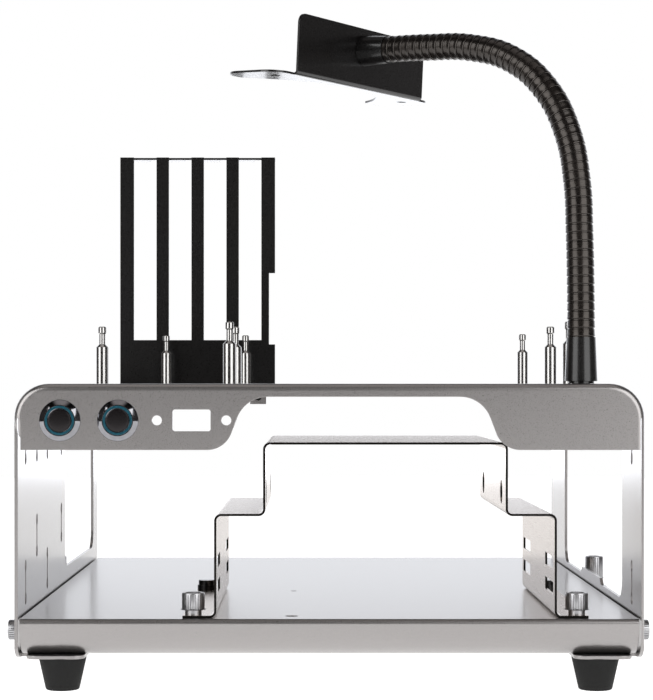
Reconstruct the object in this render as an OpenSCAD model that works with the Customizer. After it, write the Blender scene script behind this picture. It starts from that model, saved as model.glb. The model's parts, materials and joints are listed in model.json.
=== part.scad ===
// Open air test bench: a folded sheet frame over a tray with a drive cage, a slot bracket
// and a bendable arm that carries a fan bracket.
// X runs left to right, Y from front to back, Z up. The floor is Z = 0.

/* [Top frame] */
// Width over the side panels
frame_w = 273; // [262:1:300]
// Depth from the front edge to the rear edge
frame_d = 325; // [310:1:360]
// Height of the table surface above the floor
table_z = 134; // [126:1:160]
// Sheet thickness of the frame
frame_t = 1.5; // [1:0.1:2.2]
// Outside radius of the two long side bends
side_bend_r = 15; // [10:0.5:17]
// Outside radius of the front edge bend
front_bend_r = 3; // [2.5:0.1:4]
// Radius of the lower corners of the side panels
panel_corner_r = 13; // [6:0.5:18]
// Width of the seam between the front flange and a side panel
seam_w = 0.5; // [0.3:0.1:1]
// Distance from the rear edge to the edge of the rear notch
notch_d = 26; // [20:0.5:32]
// Distance from each side to the rear notch
notch_side = 16; // [15.5:0.5:20]

/* [Front flange] */
// Height of the deep ends of the front flange
flange_h = 28.7; // [26:0.1:32]
// Height of the rail between them
rail_h = 5.7; // [4.6:0.1:8]
// Width of the left end, which carries the controls
control_w = 83.8; // [80:0.1:92]
// Width of the right end
label_w = 53.9; // [40:0.1:62]
// Radius of the lower arc where the flange rises to the rail
rise_low_r = 11; // [8:0.5:12]
// Radius of the upper arc of the rise
rise_high_r = 14; // [8:0.5:14]
// Slope of the rise in degrees
rise_slope = 69; // [50:1:70]

/* [Controls] */
// Diameter of the panel hole for a switch
switch_hole_d = 16; // [15.5:0.1:16.5]
// Diameter of the switch bezel
bezel_d = 18; // [17.6:0.1:20]
// How far the bezel stands out of the panel
bezel_h = 1.9; // [1.2:0.1:3]
// Diameter of the button
button_d = 10; // [9:0.1:10.4]
// How far the button stands out of the bezel
button_proud = 0.7; // [0.3:0.1:1.5]
// Travel of the button
button_travel = 1.5; // [1:0.1:2]
// Length of the switch body behind the panel
switch_len = 17; // [15:0.5:24]
// Distance from the left side to the first switch
switch_edge = 20.1; // [19.5:0.1:22]
// Distance between the switches
switch_pitch = 25; // [24:0.1:27]
// Drop of the controls below the table surface
control_drop = 15.9; // [15.6:0.1:17]
// Width of the opening for a port
port_w = 16.4; // [12:0.1:20]
// Height of the opening for a port
port_h = 9.4; // [7:0.1:12]
// Corner radius of the opening for a port
port_r = 1; // [0.5:0.1:2]
// Distance from the left side to the middle of the port
port_edge = 77; // [74:0.1:78]
// Diameter of the two holes beside the port
port_hole_d = 4.3; // [3:0.1:5]
// Distance between the holes beside the port
port_hole_pitch = 30; // [27:0.1:31]

/* [Side panels] */
// Front edge of the left opening, from the front
left_open_y = 169.5; // [165:0.5:190]
// Length of the left opening
left_open_len = 134.5; // [110:0.5:138]
// Height of the left opening's sill above the floor
left_sill_z = 40; // [38:0.5:50]
// Front edge of the right opening, from the front
right_open_y = 55; // [45:0.5:75]
// Length of the right opening
right_open_len = 207; // [190:0.5:220]
// Height of the right opening's sill above the floor
right_sill_z = 35.4; // [33:0.1:45]
// Distance from the table surface to the top of both openings
open_drop = 15; // [15:0.5:22]
// Corner radius of the openings
open_corner_r = 9.5; // [4:0.5:12]
// Length of the raised part of the right sill
hump_len = 72; // [40:1:100]
// Height of the raised part of the right sill
hump_h = 2.9; // [1:0.1:5]
// Height of a wavy side slot
slot_h = 20; // [16:0.5:24]
// Diameter of the round ends of a side slot
slot_end_d = 5.6; // [4:0.1:7]
// Width of the neck of a side slot
slot_neck_w = 3; // [2:0.1:4]
// Distance between the columns of side slots
slot_column = 36.5; // [32:0.5:40]
// Extra distance before the last column of the left panel
slot_skip = 17.5; // [10:0.5:20]

/* [Feet] */
// Height of a rubber foot
foot_h = 14.3; // [10:0.1:17]
// Diameter of a foot at the top
foot_top_d = 21; // [18:0.1:24]
// Diameter of a foot at the floor
foot_low_d = 14.6; // [13:0.1:20]
// Distance from the middle of a foot to the side of the frame
foot_side = 19.6; // [17:0.1:22]
// Distance from the middle of a foot to the front or rear edge
foot_end = 14; // [12:0.1:18]
// Reach of the tab that carries a foot
tab_reach = 28.4; // [27:0.1:34]
// Length of the tab that carries a foot
tab_len = 26; // [24:0.5:34]
// Distance from the edge of the frame to the tab
tab_end = 4; // [3:0.5:6]
// Corner radius of the tabs
tab_r = 5; // [2:0.5:8]
// Gap between the front of a tab and the side panel
tab_gap = 3; // [2:0.5:5]

/* [Tray] */
// Gap between the tray and each side panel
tray_gap = 1; // [0.5:0.1:3]
// Height of the tray surface above the floor
tray_z = 32.1; // [29:0.1:33]
// Sheet thickness of the tray
tray_t = 1.2; // [0.8:0.1:1.5]
// Radius of the bend at the top of the lip
lip_bend_r = 2; // [1.6:0.1:3]
// Length of the flat under the lip
lip_foot = 12; // [6:0.5:16]

/* [Drive cage] */
// Distance from the cage's right flange to the right side
cage_edge = 23.65; // [20:0.05:36]
// Distance from the front of the bench to the cage
cage_y = 5.6; // [4:0.1:20]
// Length of the cage
cage_len = 132.4; // [125:0.1:150]
// Sheet thickness of the cage
cage_t = 1; // [0.8:0.1:1.2]
// Outside width of the lower bay
bay_w = 149.1; // [148:0.1:152]
// Outside height of the lower bay
bay_h = 45.3; // [43:0.1:48]
// Outside width of the upper bay
top_bay_w = 106.5; // [104:0.1:110]
// Outside height of the whole cage
cage_h = 76.4; // [72:0.1:82]
// Width of the flanges on the tray
cage_flange = 13.8; // [13.5:0.1:16]
// Outside radius of the cage's bends
cage_bend_r = 3; // [2:0.1:4]
// Length of a side window of the lower bay
window_len = 30; // [20:0.5:34]
// Height of a side window of the lower bay
window_h = 5.5; // [4:0.1:7]
// Height of the first row of windows above the tray
window_z = 12.3; // [11:0.1:14]
// Distance between the rows of windows
window_step = 11.1; // [9:0.1:13]
// Distance from each end of the cage to the middle of a window
window_end = 20.4; // [18:0.1:30]
// Diameter of the round side holes of the upper bay
bay_hole_d = 10.5; // [6:0.1:12]
// Height of the round side holes above the tray
bay_hole_z = 53.9; // [53:0.1:60]

/* [Thumbscrews] */
// Diameter of a side thumbscrew
side_screw_d = 9; // [8:0.1:10]
// Length of a side thumbscrew outside the panel
side_screw_h = 8; // [6:0.1:10]
// Distance from the front or rear edge to a side thumbscrew
side_screw_end = 40; // [36:0.5:50]
// Height of the side thumbscrews above the floor
side_screw_z = 23; // [22.5:0.1:24.5]
// Diameter of a front cage thumbscrew
cage_screw_d = 10; // [8.5:0.1:10]
// Height of a front cage thumbscrew above the cage's flange
cage_screw_h = 9.5; // [8:0.1:11]
// Diameter of the washer of a rear cage screw
cap_washer_d = 8.8; // [7.8:0.1:9.6]
// Diameter of the head of a rear cage screw
cap_screw_d = 7.7; // [6:0.1:8]
// Height of a rear cage screw above the cage's flange
cap_screw_h = 4.6; // [3.5:0.1:6]
// Distance from the rear end of the cage to its rear screws
cap_screw_end = 15; // [8:0.5:20]
// Diameter of the knob on a side ear
ear_screw_d = 9.4; // [8:0.1:10]
// Height of the knob on a side ear
ear_screw_h = 15; // [8:0.1:17]
// Distance from the front edge to a side ear
ear_y = 195; // [170:1:240]
// Height of the upper face of a side ear above the floor
ear_z = 28.5; // [27:0.1:31]
// Reach of a side ear
ear_reach = 11; // [10.5:0.1:12]
// Width of a side ear
ear_w = 16; // [12:0.5:22]
// Diameter of every thumbscrew's thread
thread_d = 3.5; // [3:0.1:4]

/* [Slot bracket] */
// Left edge of the slot bracket, from the left side
bracket_edge = 17.7; // [17:0.1:20]
// Width of the slot bracket
bracket_w = 90; // [89:0.1:96]
// Height of the slot bracket above the table surface
bracket_h = 132.7; // [130:0.1:140]
// Sheet thickness of the slot bracket
bracket_t = 1.2; // [1:0.1:2]
// Distance between the expansion slots
slot_pitch = 20.32; // [20:0.01:20.6]
// Width of an expansion slot opening
card_slot_w = 13.1; // [11:0.1:15]
// Height of the sill of the slots above the table surface
card_slot_z = 26.5; // [22:0.1:32]
// Depth of the flange at the top of the bracket
hood_d = 14; // [10:0.5:18]
// How far the slots run into the flange at the top
hood_gap = 2.5; // [1.5:0.1:4]
// Depth of the notch in the right edge
edge_notch_d = 3.5; // [1:0.1:3.8]
// Height of the notch's lower end above the table surface
edge_notch_z = 24; // [20:0.5:30]
// Length of the notch in the right edge
edge_notch_len = 41.4; // [20:0.1:60]
// Width of the fixing tabs
fix_tab_w = 9.3; // [8:0.1:12]
// Depth of the fixing tabs below the table surface
fix_tab_h = 10.7; // [9:0.1:14]
// Distance between the fixing tabs
fix_tab_pitch = 70.4; // [60:0.1:74]

/* [Board posts] */
// Diameter of a board post
post_d = 6; // [5:0.1:7]
// Height of a post's shoulder above the table
post_h = 20.2; // [15:0.1:25]
// Height of the split tip above the shoulder
tip_h = 8.8; // [7:0.1:11]
// Diameter of the neck of the tip
neck_d = 3; // [2.6:0.1:3.4]
// Diameter of the head of the tip
tip_d = 4; // [3.8:0.1:4.6]
// Width of the split in the tip
split_w = 0.6; // [0.4:0.1:0.9]
// Distance from the front edge to the first row
board_front = 63.7; // [45:0.1:64]
// Distance from the last row to the rear notch
board_rear = 7.97; // [7:0.01:12]
// Distance from the right column to the right side
board_right = 24.7; // [22:0.1:30]
// Distance from the post at the far left to the left side
board_left = 24.2; // [22:0.1:30]

/* [Arm] */
// Distance from the right side to the arm
arm_edge = 25; // [22:0.5:32]
// Distance from the front edge to the arm
arm_y = 20; // [18:0.5:26]
// Direction of the arm, in degrees from left towards the back
arm_turn = 36; // [20:1:50]
// Diameter of the ferrule at its foot
ferrule_d = 14.4; // [13.8:0.1:15]
// Diameter of the ferrule at its mouth
ferrule_top_d = 12.8; // [12.7:0.1:13.5]
// Height of the ferrule
ferrule_h = 19.4; // [17:0.1:24]
// Height of the collar under the ferrule
collar_h = 1; // [0.6:0.1:2]
// Diameter of the ridges of the hose
hose_d = 12.4; // [12:0.1:12.6]
// Diameter of the hose between its ridges
hose_core_d = 11.2; // [10.6:0.1:11.4]
// Length of one segment of the hose
segment_len = 23; // [21:0.1:25]
// Ridges on one segment
ridge_count = 6; // [5:1:6]
// Width of a groove between ridges
groove_w = 1.5; // [1.4:0.1:1.6]
// Diameter of the ball at the end of a segment
ball_d = 8.2; // [7.6:0.1:8.4]
// Clearance between a ball and its seat
ball_gap = 0.3; // [0.25:0.05:0.4]
// Length of the end ferrule
end_ferrule_h = 13.6; // [12:0.1:16]
// Length of hose inside a ferrule
hose_tail = 8; // [6:0.1:9]

/* [Fan bracket] */
// Sheet thickness of the fan bracket
fan_t = 1; // [0.8:0.1:1.6]
// Width of the upright flange
fan_flange_w = 104; // [96:0.5:110]
// Height of the upright flange
fan_flange_h = 28.2; // [26:0.1:32]
// Height of the arm above the lower edge of the flange
fan_arm_z = 17.7; // [14:0.1:19]
// Corner radius of the upright flange
fan_flange_r = 4.5; // [2:0.1:6]
// Width of the plate
fan_plate_w = 130; // [122:0.5:134]
// Depth of the ears of the plate
fan_plate_d = 33.5; // [30:0.1:36]
// Corner radius of the plate
fan_plate_r = 9; // [4:0.5:10]
// Radius of the fan's air circle
fan_air_r = 60; // [57:0.1:60.5]
// Distance between the fan's screw holes
fan_hole_pitch = 105; // [104:0.1:106]
// Diameter of the fan's screw holes
fan_hole_d = 4.5; // [4:0.1:5]
// Distance from the bend to the fan's screw holes
fan_hole_y = 12.3; // [11:0.1:14]
// Inside radius of the bend of the plate
fan_bend_r = 1; // [0.6:0.1:2]
// Diameter of the screw that holds the bracket
fan_screw_d = 4; // [3:0.1:5]
// Slope of the arm's end, in degrees from upright
arm_end_slope = 87; // [80:1:90]

/* [Hidden] */
$fn = 96;

// One overrun for all cuts
cut = 1;
// Play between a fastener and its hole, on the radius
play = 0.2;
// Running clearance of a turning fit, on the radius
run_gap = 0.08;
// Gap between faces that slide on each other
face_gap = 0.15;
// Points of an arc in an outline
arc_steps = 12;

// Colours
silver = [0.72, 0.72, 0.73];
warm_silver = [0.66, 0.65, 0.63];
black_coat = [0.16, 0.15, 0.15];
rubber_black = [0.1, 0.1, 0.1];
bright_plate = [0.82, 0.82, 0.83];
knurl_grey = [0.62, 0.62, 0.63];
dark_button = [0.13, 0.12, 0.13];
ring_blue = [0.1, 0.45, 0.6];

// Frame
front_y = (bezel_h + button_proud - frame_d) / 2;
half_w = frame_w / 2;
panel_x = half_w - frame_t;
tab_z = foot_h + frame_t;
frame_h = table_z - foot_h;
rise_r = rise_low_r + rise_high_r;
rise_h = flange_h - rail_h;
rise_line = (rise_h - rise_r * (1 - cos(rise_slope))) / sin(rise_slope);
rise_run = rise_r * sin(rise_slope) + rise_line * cos(rise_slope);
notch_y = frame_d - notch_d;
notch_x = half_w - notch_side;
open_top_z = table_z - open_drop;
foot_x = half_w - foot_side;
hump_slope = 4;
hump_y = right_open_y + right_open_len / 2 - hump_len / 2;

// Controls
control_z = table_z - control_drop;
power_x = -half_w + switch_edge;
reset_x = power_x + switch_pitch;
port_x = -half_w + port_edge;
bezel_slope_h = bezel_h * 0.85;
ring_t = 1.1;
ring_gap = 0.3;
ring_r = button_d / 2 + ring_gap + ring_t;
switch_bore_r = ring_r + ring_gap / 3;
bezel_face_r = switch_bore_r + ring_gap;
ring_back_y = 1;
cap_back_y = ring_back_y + 1.8;
cap_flange_t = 1;
cap_chamfer = 0.5;
stem_r = 2;
wall_front_y = cap_back_y + button_travel + 1.5;
wall_t = 2;
terminal_t = 3.5;
pin_w = 2.8;
pin_t = 0.5;
pin_len = 6;
pin_spread = 3.2;
switch_nut_d = 21;
switch_nut_t = 3;

// Side slots
slot_row_low = 21.3;
slot_row_step = 18.4;
slot_row_high = 83.7;
slot_first_y = 27;
slot_columns = 4;

// Tray
tray_w = frame_w - 2 * frame_t - 2 * tray_gap;
lip_r = tray_z - lip_bend_r - tab_z;
tray_hole_d = 5.7;
tray_hole_y = 13.5;
tray_hole_x = -16.4;
tray_small_d = 3;
tray_small_y = 123.5;

// Cage
cage_x = half_w - cage_edge - cage_flange - bay_w / 2;
cage_screw_end = 6.4;
cage_screw_x = bay_w / 2 + cage_flange * 0.68;
cage_screw_rows = [cage_screw_end, cage_len - cap_screw_end];
screw_chamfer = 0.6;

// Slot bracket
bracket_x = -half_w + bracket_edge;
card_slot_margin = (bracket_w - 3 * slot_pitch - card_slot_w) / 2;
bracket_foot_z = 0.4;
slot_screw_d = 3;
slot_screw_head_d = 6;
slot_screw_head_t = 2;
hood_slot_d = 9.5;
hood_slot_w = 4.4;

// Board posts: places across, from the right column, and rows, as shares of the whole spread
board_w = frame_w - board_left - board_right;
board_d = notch_y - board_front - board_rear;
column_shares = [0, 0.7027, 0.9067, 1];
row_shares = [0, 0.3184, 0.8994, 1];
post_columns = [for (share = column_shares) half_w - board_right - share * board_w];
post_rows = [for (share = row_shares) board_front + share * board_d];
// Column and row of each post
post_places = [
    [post_columns[0], post_rows[0]], [post_columns[1], post_rows[0]],
    [post_columns[0], post_rows[1]], [post_columns[1], post_rows[1]],
    [post_columns[3], post_rows[1]], [post_columns[0], post_rows[2]],
    [post_columns[1], post_rows[3]], [post_columns[2], post_rows[3]]
];
post_stud_d = 3;
post_screw_d = 6;
post_screw_t = 1.8;
post_chamfer = (post_d - neck_d) / 2;
tip_head_h = tip_h * 0.42;
tip_chamfer = (tip_d - neck_d) / 2;

// Arm
arm_x = half_w - arm_edge;
arm_stud_d = 8;
arm_stud_len = 9;
arm_nut_d = 15;
arm_nut_t = 4;
collar_d = 11.5;
hose_play = 0.2;
hose_r = hose_d / 2;
core_r = hose_core_d / 2;
ridge_pitch = segment_len / ridge_count;
ridge_w = ridge_pitch - groove_w;
ridge_round = 0.5;
hose_z = table_z + face_gap + collar_h + ferrule_h;
segment_count = 9;
// Share of the arm's whole bend that each segment takes
bend_shares = [0.014, 0.004, 0.035, 0.175, 0.203, 0.276, 0.219, 0.074, 0];

// Fan bracket
fan_screw_head_d = 10;
fan_screw_head_t = 2.6;
fan_hub_y = end_ferrule_h + face_gap;
fan_circle_y = fan_hole_y + fan_hole_pitch / 2;

// A rectangle with round corners, its lower left corner at the origin
module round_rect(w, h, r) {
    translate([r, 0]) square([w - 2 * r, h]);
    translate([0, r]) square([w, h - 2 * r]);
    for (x = [r, w - r], y = [r, h - r]) translate([x, y]) circle(r = r);
}

// A rectangle with two round upper corners, centred on its width
module arch(w, h, r) {
    translate([-w / 2, 0]) square([w, h - r]);
    translate([r - w / 2, 0]) square([w - 2 * r, h]);
    for (side = [-1, 1]) translate([side * (w / 2 - r), h - r]) circle(r = r);
}

// The corner that a round edge of radius r leaves over
module corner(r) {
    difference() {
        square(r);
        translate([r, r]) circle(r = r);
    }
}

// A quarter of a bent sheet, its corner towards +x and +y
module bend(r, t) {
    intersection() {
        difference() {
            circle(r = r);
            circle(r = r - t);
        }
        square(r);
    }
}

// Raises an outline drawn in x and z along +Y
module along_y(len) {
    translate([0, len, 0]) rotate([90, 0, 0]) linear_extrude(len) children();
}

// Raises an outline drawn in y and z along +X
module along_x(len) {
    rotate([90, 0, 90]) linear_extrude(len) children();
}

// A pan, open below and behind: round over both sides and over the front edge
module pan(w, h, d, r, lip) {
    translate([0, lip, 0]) along_y(d - lip) arch(w, h, r);
    along_y(lip) arch(w - 2 * lip, h - lip, r - lip);
    translate([0, lip, h - lip]) rotate([0, 90, 0]) cylinder(r = lip, h = w - 2 * r, center = true);
    for (side = [-1, 1]) {
        translate([side * (w / 2 - r), lip, h - r]) rotate([90, 0, 0])
            rotate_extrude() translate([r - lip, 0]) circle(r = lip);
        translate([side * (w / 2 - lip), lip, 0]) cylinder(r = lip, h = h - r);
    }
}

// Points of an arc about c, from angle a to angle b
function arc(c, r, a, b) = [
    for (i = [0 : arc_steps]) let (u = a + (b - a) * i / arc_steps) [c[0] + r * cos(u), c[1] + r * sin(u)]
];

// The rising edge of the front flange, from its deep end at x = 0 up to the rail
function rise_points() = concat(
    arc([0, rise_low_r - rise_h], rise_low_r, -90, rise_slope - 90),
    arc([rise_run, -rise_high_r], rise_high_r, rise_slope + 90, 90)
);

// Area in front of which the frame is open, drawn in x and z
module front_gap() {
    rise = rise_points();
    rail_z = table_z - rail_h;
    left_x = control_w - half_w;
    right_x = half_w - label_w;
    side_x = panel_x - seam_w;
    low_z = foot_h - cut;
    polygon(concat(
        [[-side_x, low_z], [-side_x, table_z - flange_h]],
        [for (p = rise) [left_x + p[0], rail_z + p[1]]],
        [for (i = [len(rise) - 1 : -1 : 0]) [right_x - rise[i][0], rail_z + rise[i][1]]],
        [[side_x, table_z - flange_h], [side_x, low_z]]
    ));
}

// A tall slot of two round holes joined by a neck, its lower end at the origin
module wavy_slot() {
    r = slot_end_d / 2;
    for (z = [r, slot_h - r]) translate([0, z]) circle(r = r);
    translate([-slot_neck_w / 2, r]) square([slot_neck_w, slot_h - 2 * r]);
}

// Slots of a side panel, drawn in y and z
module side_slots(columns) {
    for (i = [0 : columns - 1]) {
        low = i % 2 == 0 ? slot_row_low : slot_row_low + slot_row_step;
        y = slot_first_y + i * slot_column + (i == slot_columns - 1 ? slot_skip : 0);
        for (z = [low, slot_row_high]) translate([y, foot_h + z]) wavy_slot();
    }
}

// The raised part of the right sill, drawn in y and z
module hump() {
    polygon([
        [hump_y, right_sill_z - cut], [hump_y, right_sill_z], [hump_y + hump_slope, right_sill_z + hump_h],
        [hump_y + hump_len - hump_slope, right_sill_z + hump_h], [hump_y + hump_len, right_sill_z],
        [hump_y + hump_len, right_sill_z - cut]
    ]);
}

// The sheet of the frame before its openings are cut
module frame_shell() {
    difference() {
        translate([0, 0, foot_h]) pan(frame_w, frame_h, frame_d, side_bend_r, front_bend_r);
        translate([0, frame_t, foot_h - cut])
            pan(frame_w - 2 * frame_t, frame_h - frame_t + cut, frame_d, side_bend_r - frame_t,
                front_bend_r - frame_t);
    }
}

// Openings and holes of the side panels
module panel_cuts() {
    translate([-half_w - cut, 0, 0]) along_x(frame_t + 2 * cut) {
        translate([left_open_y, left_sill_z])
            round_rect(left_open_len, open_top_z - left_sill_z, open_corner_r);
        side_slots(slot_columns);
    }
    translate([panel_x - cut, 0, 0]) along_x(frame_t + 2 * cut) {
        difference() {
            translate([right_open_y, right_sill_z])
                round_rect(right_open_len, open_top_z - right_sill_z, open_corner_r);
            hump();
        }
        side_slots(1);
    }
    for (y = [side_screw_end, frame_d - side_screw_end])
        translate([0, y, side_screw_z]) rotate([0, 90, 0])
            cylinder(d = thread_d + 2 * play, h = frame_w + 2 * cut, center = true);
    translate([-half_w - cut, 0, foot_h]) along_x(frame_w + 2 * cut) {
        translate([-cut, -cut]) square([panel_corner_r + cut, cut]);
        corner(panel_corner_r);
        translate([frame_d, 0]) mirror([1, 0]) corner(panel_corner_r);
    }
}

// Openings and holes of the front flange
module flange_cuts() {
    depth = front_bend_r + 2 * cut;
    translate([0, -cut, 0]) along_y(front_bend_r + cut) front_gap();
    for (side = [-1, 1]) {
        x = side < 0 ? -panel_x : panel_x - seam_w;
        translate([x, -cut, foot_h - cut]) cube([seam_w, front_bend_r + cut, frame_h - side_bend_r + cut]);
    }
    for (x = [power_x, reset_x])
        translate([x, depth / 2, control_z]) rotate([90, 0, 0])
            cylinder(d = switch_hole_d, h = 2 * depth, center = true);
    for (side = [-1, 1])
        translate([port_x + side * port_hole_pitch / 2, depth / 2, control_z]) rotate([90, 0, 0])
            cylinder(d = port_hole_d, h = 2 * depth, center = true);
    translate([port_x - port_w / 2, -cut, control_z - port_h / 2]) along_y(depth)
        round_rect(port_w, port_h, port_r);
}

// Openings and holes of the table
module table_cuts() {
    hole_z = table_z - frame_t - cut;
    hole_h = frame_t + 2 * cut;
    translate([-notch_x, notch_y - front_bend_r, hole_z])
        cube([2 * notch_x, notch_d + front_bend_r + cut, hole_h]);
    for (p = post_places)
        translate([p[0], p[1], hole_z]) cylinder(d = post_stud_d + 2 * play, h = hole_h);
    translate([arm_x, arm_y, hole_z]) cylinder(d = arm_stud_d + 2 * run_gap, h = hole_h);
}

// A hole through sheets that stand across Y, about the given place
module hole_y(x, y, z, d, len) {
    translate([x, y, z]) rotate([90, 0, 0]) cylinder(d = d, h = len, center = true);
}

// The rear edge of the table, bent down as two fixing tabs
module rear_edge() {
    low = table_z - front_bend_r;
    translate([-notch_x, notch_y - front_bend_r - frame_t, table_z - frame_t])
        cube([2 * notch_x, frame_t + face_gap, frame_t]);
    for (side = [-1, 1]) {
        x = fix_tab_x(side);
        difference() {
            union() {
                translate([x - fix_tab_w / 2, 0, 0]) along_x(fix_tab_w) {
                    translate([notch_y - front_bend_r, low]) bend(front_bend_r, frame_t);
                    translate([notch_y - frame_t, table_z - fix_tab_h])
                        square([frame_t, fix_tab_h - front_bend_r]);
                }
            }
            hole_y(x, notch_y, table_z - fix_tab_h / 2 - frame_t, slot_screw_d + 2 * play,
                2 * frame_t + 2 * cut);
        }
    }
}

function fix_tab_x(side) = bracket_x + bracket_w / 2 + side * fix_tab_pitch / 2;

// The tabs under the side panels that carry the feet and the tray
module foot_tabs() {
    root_y = panel_corner_r - tab_end + frame_t;
    for (side = [0, 1], end = [0, 1])
        mirror([side, 0, 0]) translate([0, end * frame_d, 0]) mirror([0, end, 0]) difference() {
            translate([panel_x - tab_reach, tab_end, foot_h]) linear_extrude(frame_t) {
                round_rect(tab_reach - tab_gap, tab_len, tab_r);
                translate([tab_r, root_y]) square([tab_reach - tab_r + frame_t / 2, tab_len - root_y]);
            }
            translate([foot_x, foot_end, foot_h - cut])
                cylinder(d = thread_d + 2 * play, h = frame_t + 2 * cut);
        }
}

// The ears that stand out of the side panels
module side_ears() {
    for (side = [0, 1]) mirror([side, 0, 0]) difference() {
        translate([panel_x, ear_y - ear_w / 2, ear_z - frame_t])
            cube([frame_t + ear_reach, ear_w, frame_t]);
        translate([half_w + ear_reach / 2, ear_y, ear_z - frame_t - cut])
            cylinder(d = thread_d + 2 * play, h = frame_t + 2 * cut);
    }
}

module top_frame() {
    color(silver) translate([0, front_y, 0]) {
        difference() {
            frame_shell();
            panel_cuts();
            flange_cuts();
            table_cuts();
        }
        rear_edge();
        foot_tabs();
        side_ears();
    }
}

// The rounded lip along an end of the tray, drawn in y and z
module tray_lip() {
    translate([lip_r, tray_z - lip_bend_r]) rotate(180) bend(lip_r, tray_t);
    translate([lip_bend_r, tray_z - lip_bend_r]) mirror([1, 0]) bend(lip_bend_r, tray_t);
    translate([lip_r, tab_z]) square([lip_foot, tray_t]);
}

module lower_tray() {
    color(silver) translate([0, front_y, 0]) difference() {
        union() {
            translate([-tray_w / 2, 0, 0]) along_x(tray_w) {
                tray_lip();
                translate([frame_d, 0]) mirror([1, 0]) tray_lip();
                translate([lip_bend_r, tray_z - tray_t]) square([frame_d - 2 * lip_bend_r, tray_t]);
            }
            for (side = [0, 1]) mirror([side, 0, 0])
                translate([tray_w / 2 - tray_t, lip_r + lip_foot, tab_z])
                    cube([tray_t, frame_d - 2 * lip_r - 2 * lip_foot, tray_z - tab_z]);
        }
        for (y = [side_screw_end, frame_d - side_screw_end])
            translate([0, y, side_screw_z]) rotate([0, 90, 0])
                cylinder(d = thread_d + 2 * play, h = tray_w + 2 * cut, center = true);
        for (place = cage_screw_places())
            translate([place[0], place[1], tray_z - tray_t - cut])
                cylinder(d = thread_d + 2 * play, h = tray_t + 2 * cut);
        translate([tray_hole_x, tray_hole_y, tray_z - tray_t - cut])
            cylinder(d = tray_hole_d, h = tray_t + 2 * cut);
        translate([tray_hole_x, tray_small_y, tray_z - tray_t - cut])
            cylinder(d = tray_small_d, h = tray_t + 2 * cut);
    }
}

// Places of the cage's screws on the tray
function cage_screw_places() = [
    for (y = cage_screw_rows, side = [-1, 1]) [cage_x + side * cage_screw_x, cage_y + y]
];

// Outline of the cage's outside (grow = 0) or inside (grow = sheet thickness)
module cage_outline(grow) {
    arch(bay_w - 2 * grow, bay_h - grow, cage_bend_r - grow);
    arch(top_bay_w - 2 * grow, cage_h - grow, cage_bend_r - grow);
    for (side = [0, 1]) mirror([side, 0])
        translate([top_bay_w / 2 - grow, bay_h - grow]) corner(cage_bend_r - cage_t + grow);
}

module drive_cage() {
    flange_x = bay_w / 2 + cage_flange;
    color(warm_silver) translate([cage_x, front_y + cage_y, tray_z]) difference() {
        along_y(cage_len) difference() {
            union() {
                cage_outline(0);
                translate([-flange_x, 0]) square([2 * flange_x, cage_t]);
                for (side = [0, 1]) mirror([side, 0])
                    translate([bay_w / 2, cage_t]) corner(cage_bend_r - cage_t);
            }
            cage_outline(cage_t);
            for (side = [0, 1]) mirror([side, 0])
                translate([bay_w / 2 - cage_t, 0]) corner(cage_bend_r);
            translate([cage_t - bay_w / 2, -cut]) square([bay_w - 2 * cage_t, 2 * cut]);
        }
        translate([-bay_w / 2 - cut, 0, 0]) along_x(bay_w + 2 * cut)
            for (y = [window_end, cage_len - window_end], row = [0, 1])
                translate([y - window_len / 2, window_z + row * window_step - window_h / 2])
                    square([window_len, window_h]);
        for (y = [window_end, cage_len - window_end])
            translate([0, y, bay_hole_z]) rotate([0, 90, 0])
                cylinder(d = bay_hole_d, h = bay_w, center = true);
        for (y = cage_screw_rows, side = [-1, 1])
            translate([side * cage_screw_x, y, -cut])
                cylinder(d = thread_d + 2 * play, h = cage_t + 2 * cut);
    }
}

// A rubber foot with a recess and its screw
module foot(side, end) {
    y = end < 0 ? foot_end : frame_d - foot_end;
    recess_r = foot_low_d / 4;
    screw_r = thread_d / 2;
    color(rubber_black) translate([side * foot_x, front_y + y, 0]) difference() {
        union() {
            cylinder(d1 = foot_low_d, d2 = foot_top_d, h = foot_h);
            translate([0, 0, foot_h / 2]) cylinder(r = screw_r, h = foot_h / 2 + frame_t);
        }
        translate([0, 0, -cut]) cylinder(r = recess_r, h = foot_h / 3 + cut);
    }
}

// A knurled thumbscrew standing on Z = 0 with its thread below
module thumbscrew(d, h, thread_len) {
    grips = 24;
    grip_r = d * PI / grips / 4;
    neck_h = h * 0.22;
    color(knurl_grey) {
        difference() {
            translate([0, 0, neck_h]) rotate_extrude() polygon([
                [0, 0], [d / 2 - screw_chamfer, 0], [d / 2, screw_chamfer],
                [d / 2, h - neck_h - screw_chamfer], [d / 2 - screw_chamfer, h - neck_h],
                [0, h - neck_h]
            ]);
            for (i = [0 : grips - 1]) rotate(i * 360 / grips) translate([d / 2, 0, neck_h - cut])
                cylinder(r = grip_r, h = h + 2 * cut);
        }
        cylinder(d = d * 0.73, h = neck_h + screw_chamfer);
        translate([0, 0, -thread_len]) cylinder(d = thread_d, h = thread_len + neck_h);
    }
}

module side_screw(side, end) {
    y = end < 0 ? side_screw_end : frame_d - side_screw_end;
    thread_len = half_w - tray_w / 2 + tray_t + frame_t;
    translate([side * half_w, front_y + y, side_screw_z]) rotate([0, side * 90, 0])
        thumbscrew(side_screw_d, side_screw_h, thread_len);
}

module cage_screw(side) {
    translate([cage_x + side * cage_screw_x, front_y + cage_y + cage_screw_end, tray_z + cage_t])
        thumbscrew(cage_screw_d, cage_screw_h, cage_t + 2 * tray_t);
}

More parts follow.
